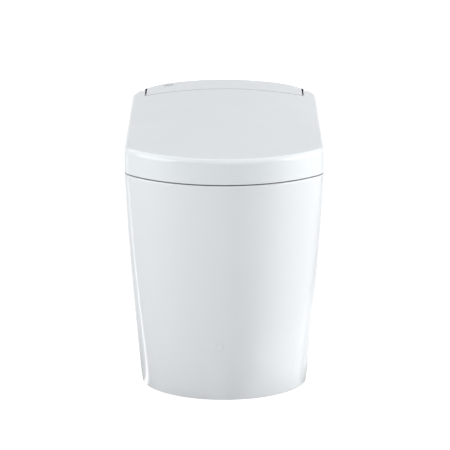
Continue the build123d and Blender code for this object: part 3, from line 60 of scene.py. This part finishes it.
class Shader:
    """A material's node tree with its Principled shader and short calls to add nodes."""

    def __init__(self, name):
        self.material = bpy.data.materials.new(name)
        self.material.use_nodes = True
        self.tree = self.material.node_tree
        self.shader = self.tree.nodes["Principled BSDF"]
        self.place = self.tree.nodes.new("ShaderNodeTexCoord").outputs["Object"]
        self.bumps = None

    def add(self, kind, **values):
        node = self.tree.nodes.new(kind)
        for key, value in values.items():
            setattr(node, key, value)
        return node

    def link(self, source, target):
        self.tree.links.new(source, target)

    def give(self, source, socket):
        """Links an output to a socket of the Principled shader."""
        self.link(source, self.shader.inputs[socket])

    def set(self, **values):
        """Sets plain values on the Principled shader's own sockets."""
        for key, value in values.items():
            self.shader.inputs[key.replace("_", " ")].default_value = value

    def stretched(self, scale):
        """The place in the object, stretched along each axis."""
        mapping = self.add("ShaderNodeMapping")
        mapping.inputs["Scale"].default_value = scale
        self.link(self.place, mapping.inputs["Vector"])
        return mapping.outputs["Vector"]

    def noise(self, scale, detail=3.0, roughness=0.5, vector=None):
        node = self.add("ShaderNodeTexNoise")
        node.inputs["Scale"].default_value = scale
        node.inputs["Detail"].default_value = detail
        node.inputs["Roughness"].default_value = roughness
        self.link(vector or self.place, node.inputs["Vector"])
        return node.outputs["Fac"]

    def cells(self, scale):
        """The distance to the nearest of many scattered points."""
        node = self.add("ShaderNodeTexVoronoi", feature="F1")
        node.inputs["Scale"].default_value = scale
        self.link(self.place, node.inputs["Vector"])
        return node.outputs["Distance"]

    def between(self, value, low, high, from_low=NOISE_LOW, from_high=NOISE_HIGH):
        """A number that runs from low to high as value does."""
        node = self.add("ShaderNodeMapRange")
        node.inputs["From Min"].default_value = from_low
        node.inputs["From Max"].default_value = from_high
        node.inputs["To Min"].default_value = low
        node.inputs["To Max"].default_value = high
        self.link(value, node.inputs["Value"])
        return node.outputs["Result"]

    def color_between(self, value, low, high, from_low=NOISE_LOW, from_high=NOISE_HIGH):
        """A colour that runs from low to high as value does."""
        node = self.add("ShaderNodeValToRGB")
        first, last = node.color_ramp.elements
        first.position = from_low
        last.position = from_high
        first.color = (*low, OPAQUE)
        last.color = (*high, OPAQUE)
        self.link(value, node.inputs["Fac"])
        return node.outputs["Color"]

    def painted_shade_level(self, reach, least, closed=0.0, free=1.0):
        """A level for painting shade into a colour: from least, where what lies within reach shuts a
        place in, to 1 where it is free.
        """
        node = self.add("ShaderNodeAmbientOcclusion", samples=SHADE_SAMPLES)
        node.inputs["Distance"].default_value = reach
        return self.between(node.outputs["AO"], least, 1.0, closed, free)

    def times(self, color, level):
        """A colour multiplied by a level."""
        node = self.add("ShaderNodeMix", data_type="RGBA", blend_type="MULTIPLY")
        node.inputs["Factor"].default_value = 1.0
        self.link(color, node.inputs["A"])
        self.link(level, node.inputs["B"])
        return node.outputs["Result"]

    def bump(self, height, distance, strength=1.0):
        """Adds one more layer of relief."""
        node = self.add("ShaderNodeBump")
        node.inputs["Distance"].default_value = distance
        node.inputs["Strength"].default_value = strength
        self.link(height, node.inputs["Height"])
        if self.bumps:
            self.link(self.bumps, node.inputs["Normal"])
        self.bumps = node.outputs["Normal"]
        self.give(self.bumps, "Normal")


def shade(color, amount):
    return tuple(channel * amount for channel in color)


# Materials
# Each range of roughness stays on one side of 0.27. The denoiser treats the two sides differently,
# so a surface that crosses it shows patches.

FINE_GRAIN = {"scale": 1400.0, "depth": 0.00001}
SOFT_GRAIN = {"scale": 700.0, "depth": 0.00006}
DEEP_GRAIN = {"scale": 600.0, "depth": 0.00008}


def plastic(name, color, roughness, grain=FINE_GRAIN, coat=0.0, painted_crevice_shade=None):
    """Moulded plastic: faint colour drift, a fine grain, uneven gloss and any painted shade in its
    seams.
    """
    made = Shader(name)
    tone = made.color_between(made.noise(scale=6.0, detail=4.0), shade(color, 0.975), color)
    # Painted shade: the colour is darkened where the plastic is shut in, in seams, slits and gaps.
    if painted_crevice_shade:
        tone = made.times(tone, made.painted_shade_level(**painted_crevice_shade))
    made.give(tone, "Base Color")
    smear = made.noise(scale=22.0, detail=5.0, roughness=0.6)
    made.give(made.between(smear, *roughness), "Roughness")
    made.set(IOR=1.5, Coat_Weight=coat, Coat_Roughness=0.06)
    made.bump(made.noise(scale=grain["scale"], detail=2.0), distance=grain["depth"])
    sink_marks = made.noise(scale=14.0, detail=2.0)
    made.bump(sink_marks, distance=0.0002, strength=0.25)
    return made.material


def glaze(name, color):
    """Glazed ceramic: a slow waviness, orange peel, pinholes, a thinner glaze in patches and painted
    shade in its crevices.
    """
    made = Shader(name)
    patches = made.noise(scale=4.5, detail=5.0, roughness=0.55)
    tone = made.color_between(patches, shade(color, 0.972), color)
    # Painted shade: the colour is darkened in crevices and along seams.
    painted_crevice_shade = made.painted_shade_level(reach=0.004, least=0.8, free=0.55)
    made.give(made.times(tone, painted_crevice_shade), "Base Color")
    smear = made.noise(scale=30.0, detail=4.0)
    made.give(made.between(smear, low=0.07, high=0.13), "Roughness")
    made.set(IOR=1.52, Coat_Weight=0.25, Coat_Roughness=0.03)
    waves = made.noise(scale=7.0, detail=1.0)
    made.bump(waves, distance=0.0012, strength=0.22)
    peel = made.noise(scale=260.0, detail=2.0)
    made.bump(peel, distance=0.00002, strength=0.5)
    pinholes = made.between(made.cells(scale=55.0), low=0.0, high=1.0, from_low=0.0, from_high=0.035)
    made.bump(pinholes, distance=0.00006, strength=0.35)
    return made.material


def rubber(name, color):
    """Matt rubber with cloudy colour and a fine grain."""
    made = Shader(name)
    clouds = made.noise(scale=40.0, detail=5.0)
    made.give(made.color_between(clouds, shade(color, 0.86), shade(color, 1.08)), "Base Color")
    made.give(made.between(made.noise(scale=120.0), low=0.62, high=0.82), "Roughness")
    made.set(IOR=1.45)
    made.bump(made.noise(scale=1800.0), distance=0.00004)
    return made.material


def brushed(name, color, along=(6.0, 260.0, 260.0), roughness=(0.29, 0.44)):
    """Metal with fine strokes, longest where along is least, and duller patches."""
    made = Shader(name)
    strokes = made.noise(scale=4.0, detail=6.0, roughness=0.7, vector=made.stretched(along))
    made.give(made.color_between(strokes, shade(color, 0.84), color), "Base Color")
    made.give(made.between(strokes, *roughness), "Roughness")
    made.set(Metallic=1.0)
    made.bump(strokes, distance=0.00003, strength=0.6)
    dents = made.noise(scale=90.0, detail=4.0)
    made.bump(dents, distance=0.00002, strength=0.4)
    return made.material


def plated(name, color):
    """Bright plating with faint polish marks and water spots."""
    made = Shader(name)
    rubbed = made.stretched((30.0, 8.0, 30.0))
    marks = made.noise(scale=9.0, detail=6.0, roughness=0.65, vector=rubbed)
    made.give(made.color_between(marks, shade(color, 0.93), color), "Base Color")
    spots = made.between(made.cells(scale=180.0), low=0.16, high=0.05, from_low=0.05, from_high=0.3)
    made.give(spots, "Roughness")
    made.set(Metallic=1.0)
    made.bump(marks, distance=0.00001, strength=0.5)
    return made.material


def circuit_board(name):
    """Green solder resist with brighter tracks."""
    made = Shader(name)
    bricks = made.add("ShaderNodeTexBrick")
    bricks.inputs["Scale"].default_value = 260.0
    bricks.inputs["Mortar Size"].default_value = 0.012
    bricks.inputs["Color1"].default_value = (0.012, 0.13, 0.05, OPAQUE)
    bricks.inputs["Color2"].default_value = (0.016, 0.16, 0.065, OPAQUE)
    bricks.inputs["Mortar"].default_value = (0.05, 0.30, 0.12, OPAQUE)
    made.link(made.stretched((0.35, 1.0, 1.0)), bricks.inputs["Vector"])
    made.give(bricks.outputs["Color"], "Base Color")
    made.give(made.between(made.noise(scale=300.0), low=0.29, high=0.42), "Roughness")
    made.bump(bricks.outputs["Fac"], distance=0.00003, strength=0.5)
    made.bump(made.noise(scale=900.0), distance=0.00002, strength=0.4)
    return made.material


def heater_foil(name):
    """Aluminium foil with a printed heating track."""
    made = Shader(name)
    wave = made.add("ShaderNodeTexWave", wave_type="RINGS", rings_direction="Z")
    wave.inputs["Scale"].default_value = 30.0
    wave.inputs["Distortion"].default_value = 1.2
    made.link(made.place, wave.inputs["Vector"])
    track_color = (0.50, 0.36, 0.22)
    foil_color = (0.80, 0.81, 0.82)
    tone = made.color_between(wave.outputs["Fac"], track_color, foil_color, 0.10, 0.16)
    made.give(tone, "Base Color")
    smear = made.noise(scale=240.0, detail=5.0)
    made.give(made.between(smear, low=0.29, high=0.5), "Roughness")
    made.set(Metallic=1.0)
    made.bump(made.noise(scale=160.0, detail=5.0), distance=0.00015, strength=0.5)
    return made.material


GLAZE_WHITE = (0.790, 0.807, 0.818)
LID_WHITE = (0.796, 0.823, 0.842)
# How much shade is painted into the lid's and the housing's colour in seams and slits
LID_PAINTED_SHADE = {"reach": 0.008, "least": 0.10, "closed": 0.35, "free": 0.85}
HOUSING_PAINTED_SHADE = {"reach": 0.020, "least": 0.03, "closed": 0.68, "free": 0.99}
MATERIALS = {
    "ceramic": glaze("glazed_ceramic", GLAZE_WHITE),
    "lid_plastic": plastic(
        "lid_plastic", LID_WHITE, roughness=(0.07, 0.11), coat=0.2, painted_crevice_shade=LID_PAINTED_SHADE
    ),
    "housing_plastic": plastic(
        "housing_plastic", LID_WHITE, roughness=(0.08, 0.13), coat=0.2, painted_crevice_shade=HOUSING_PAINTED_SHADE
    ),
    "button_plastic": plastic("button_plastic", (0.56, 0.58, 0.59), roughness=(0.29, 0.36)),
    "satin": brushed(
        "satin_plating", (0.52, 0.54, 0.55), along=(60.0, 60.0, 60.0), roughness=(0.34, 0.46)
    ),
    "seat_plastic": plastic("seat_plastic", (0.800, 0.806, 0.808), roughness=(0.19, 0.26)),
    "inner_plastic": plastic(
        "inner_plastic", (0.700, 0.708, 0.712), roughness=(0.38, 0.52), grain=SOFT_GRAIN
    ),
    "dark_plastic": plastic(
        "dark_plastic", (0.030, 0.031, 0.034), roughness=(0.42, 0.60), grain=DEEP_GRAIN
    ),
    "board": circuit_board("circuit_board"),
    "rubber": rubber("pale_rubber", (0.52, 0.53, 0.54)),
    "black_rubber": rubber("black_rubber", (0.022, 0.022, 0.024)),
    "steel": brushed("brushed_steel", (0.60, 0.61, 0.62)),
    "chrome": plated("plating", (0.82, 0.83, 0.85)),
    "brass": brushed("turned_brass", (0.72, 0.53, 0.24), along=(200.0, 200.0, 12.0)),
    "foil": heater_foil("heater_foil"),
    "sensor": plastic("sensor_window", (0.805, 0.815, 0.825), roughness=(0.16, 0.24), coat=0.4),
    "hose": rubber("hose_rubber", (0.16, 0.165, 0.17)),
}

SLOT_OF = {part["node"]: part["material_slot"] for part in frame["record"]["subparts"]}
# Nodes whose material here is finer than their slot in the record
FINER_SLOTS = {
    "flush_button": "button_plastic",
    "button_bezel": "satin",
    "rear_housing": "housing_plastic",
}
for node_name, thing in frame["nodes"].items():
    thing.data.materials.clear()
    thing.data.materials.append(MATERIALS[FINER_SLOTS.get(node_name, SLOT_OF[node_name])])


# Camera

CAMERA_PLACE = (0.0, -5.34, 1.578)
CAMERA_DOWN_DEG = 13.87
CAMERA_LENS_MM = 222.24
CAMERA_SENSOR_MM = 36.0
CAMERA_SHIFT_X = 0.0016
CAMERA_REACH = 60.0

camera_data = bpy.data.cameras.new("camera")
camera_data.lens = CAMERA_LENS_MM
camera_data.sensor_width = CAMERA_SENSOR_MM
camera_data.shift_x = CAMERA_SHIFT_X
camera_data.clip_end = CAMERA_REACH
camera = bpy.data.objects.new("camera", camera_data)
camera.location = CAMERA_PLACE
camera.rotation_euler = (math.radians(90.0 - CAMERA_DOWN_DEG), 0.0, 0.0)
scene.collection.objects.link(camera)
scene.camera = camera


# World

FILL_STRENGTH = 0.617
FILL_COLOR = (0.94, 0.978, 1.0, OPAQUE)
SEEN_COLOR = (1.0, 1.0, 1.0, OPAQUE)
GLOSS_STRENGTH = 3.0
# How bright gloss sees the world at each height of its direction, from 0 level to 1 straight up
GLOSS_STOPS = (
    (0.0, 0.333), (0.2, 0.25), (0.4, 0.21), (0.55, 0.62), (0.8, 0.62), (0.97, 0.21),
)


def light_world():
    """Plain white for the camera and a dim fill for the object. Gloss and glass see white at the
    horizon, a greyer wall above it, a bright ring of ceiling and a greyer middle of the ceiling."""
    world = bpy.data.worlds.new("studio")
    scene.world = world
    world.use_nodes = True
    tree = world.node_tree
    path = tree.nodes.new("ShaderNodeLightPath")
    shown = path.outputs["Is Camera Ray"]
    glossy = combine(
        tree, "MAXIMUM", path.outputs["Is Glossy Ray"], path.outputs["Is Transmission Ray"]
    )
    seen = combine(tree, "MAXIMUM", shown, glossy)

    direction = tree.nodes.new("ShaderNodeTexCoord").outputs["Generated"]
    split = tree.nodes.new("ShaderNodeSeparateXYZ")
    tree.links.new(direction, split.inputs[0])
    wall = tree.nodes.new("ShaderNodeValToRGB")
    set_stops(wall.color_ramp, GLOSS_STOPS)
    tree.links.new(split.outputs["Z"], wall.inputs["Fac"])

    wall_level = combine(tree, "MULTIPLY", wall.outputs["Color"], GLOSS_STRENGTH)
    gloss_level = combine(tree, "MULTIPLY", glossy, wall_level)
    fill_level = combine(tree, "MULTIPLY", combine(tree, "SUBTRACT", 1.0, seen), FILL_STRENGTH)
    level = combine(tree, "ADD", combine(tree, "ADD", gloss_level, shown), fill_level)

    tint = tree.nodes.new("ShaderNodeMix")
    tint.data_type = "RGBA"
    tint.inputs["A"].default_value = FILL_COLOR
    tint.inputs["B"].default_value = SEEN_COLOR
    tree.links.new(seen, tint.inputs["Factor"])
    background = tree.nodes["Background"]
    tree.links.new(tint.outputs["Result"], background.inputs["Color"])
    tree.links.new(level, background.inputs["Strength"])


light_world()


# Floor

FLOOR_SIZE = 24.0
# A little under the object, so that their faces don't share a plane
FLOOR_DROP = 0.0005
FLOOR_ROUGHNESS = 0.9
FLOOR_DARK = (0.49, 0.49, 0.49)
FLOOR_PALE = (0.51, 0.51, 0.51)
SHADOW_REACH = 0.30
SHADOW_LEVEL = 0.25
CONTACT_REACH = 0.03
CONTACT_LEVEL = 0.55

# Painted light: pools where the floor glows, seen only by gloss and glass, so the object shows them
# as reflections.
POOL_STRENGTH = 3.0
POOL_MIDDLE_Y = -0.31
# How bright gloss sees the floor in each direction from the pools' middle, in degrees: 0 is to the
# front, 90 to the right and 180 to the back
POOL_STOPS = (
    (-180, 0.36), (-152, 0.33), (-138, 0.05), (-125, 0.08), (-121, 0.78), (-117, 0.03),
    (-94, 0.10), (-58, 0.28), (-27, 0.38), (0, 0.30), (12, 0.11), (38, 0.11), (64, 0.38),
    (84, 0.38), (115, 0.30), (121, 0.02), (138, 0.02), (152, 0.33), (180, 0.36),
)
HALF_TURN_DEG = 180
FULL_TURN_DEG = 360
# One more pool close to the object on its right: full up to the first distance, none past the
# second, and rising from the first X to the second
NEAR_POOL_STRENGTH = 0.6
NEAR_POOL_DISTANCES = (0.45, 0.65)
NEAR_POOL_X = (0.15, 0.22)


def light_floor(shader):
    """Pale with a painted soft shadow in its colour, plain white for the camera but for a painted
    contact shadow, and with soft pools of painted light by direction, which glow for gloss and glass
    only."""
    tree = shader.tree
    tone = shader.color_between(shader.noise(scale=3.0), FLOOR_DARK, FLOOR_PALE)
    shader.set(Roughness=FLOOR_ROUGHNESS)
    # Painted shadow: the floor's colour is darker near the object.
    shader.give(shader.times(tone, shader.painted_shade_level(SHADOW_REACH, SHADOW_LEVEL)), "Base Color")

    split = shader.add("ShaderNodeSeparateXYZ")
    shader.link(shader.place, split.inputs[0])
    ahead = combine(tree, "SUBTRACT", POOL_MIDDLE_Y, split.outputs["Y"])
    turn = combine(tree, "ARCTAN2", split.outputs["X"], ahead)
    ramp = shader.add("ShaderNodeValToRGB")
    stops = [((degrees + HALF_TURN_DEG) / FULL_TURN_DEG, level) for degrees, level in POOL_STOPS]
    set_stops(ramp.color_ramp, stops)
    shader.link(shader.between(turn, 0.0, 1.0, -math.pi, math.pi), ramp.inputs["Fac"])
    pools = combine(tree, "MULTIPLY", ramp.outputs["Color"], POOL_STRENGTH)

    spread = shader.add("ShaderNodeVectorMath", operation="LENGTH")
    shader.link(shader.place, spread.inputs[0])
    near = shader.between(
        spread.outputs["Value"], NEAR_POOL_STRENGTH, 0.0, *NEAR_POOL_DISTANCES
    )
    on_right = shader.between(split.outputs["X"], 0.0, 1.0, *NEAR_POOL_X)
    pools = combine(tree, "ADD", pools, combine(tree, "MULTIPLY", near, on_right))

    path = shader.add("ShaderNodeLightPath")
    # Painted contact shadow: the floor's glow for the camera is dimmer close to the object.
    contact = shader.painted_shade_level(CONTACT_REACH, CONTACT_LEVEL)
    shown = combine(tree, "MULTIPLY", contact, path.outputs["Is Camera Ray"])
    mirrored = combine(
        tree, "MAXIMUM", path.outputs["Is Glossy Ray"], path.outputs["Is Transmission Ray"]
    )
    pools = combine(tree, "MULTIPLY", pools, mirrored)
    glow = shader.add("ShaderNodeEmission")
    shader.link(combine(tree, "ADD", shown, pools), glow.inputs["Strength"])
    both = shader.add("ShaderNodeAddShader")
    shader.link(shader.shader.outputs[0], both.inputs[0])
    shader.link(glow.outputs[0], both.inputs[1])
    shader.link(both.outputs[0], tree.nodes["Material Output"].inputs["Surface"])


half = FLOOR_SIZE / 2
corners = [(-half, -half, 0.0), (half, -half, 0.0), (half, half, 0.0), (-half, half, 0.0)]
floor_mesh = bpy.data.meshes.new("floor")
floor_mesh.from_pydata(corners, [], [(0, 1, 2, 3)])
floor = bpy.data.objects.new("floor", floor_mesh)
scene.collection.objects.link(floor)
floor.location.z = -FLOOR_DROP
floor_shader = Shader("floor")
light_floor(floor_shader)
floor_mesh.materials.append(floor_shader.material)


# Lamps

BODY_MIDDLE = (0.0, 0.0, 0.25)
# Each lamp's name, place, aim, side length in metres and power in watts
LAMPS = (
    ("right_box", (2.56, -0.60, 1.1), BODY_MIDDLE, 2.0, 51.0),
    ("left_box", (-2.42, -1.03, 1.1), BODY_MIDDLE, 2.0, 36.0),
    ("top_box", (0.0, 0.6, 2.8), (0.0, 0.0, 0.3), 2.4, 5.6),
    ("front_spark", (0.0, -3.6, 2.2), (0.0, -0.3, 0.4), 0.12, 3.5),
)

for lamp_name, place, aim, side, watts in LAMPS:
    lamp_data = bpy.data.lights.new(lamp_name, "AREA")
    lamp_data.shape = "RECTANGLE"
    lamp_data.size = side
    lamp_data.size_y = side
    lamp_data.energy = watts
    lamp = bpy.data.objects.new(lamp_name, lamp_data)
    lamp.location = place
    lamp.rotation_euler = (Vector(aim) - Vector(place)).to_track_quat("-Z", "Y").to_euler()
    scene.collection.objects.link(lamp)
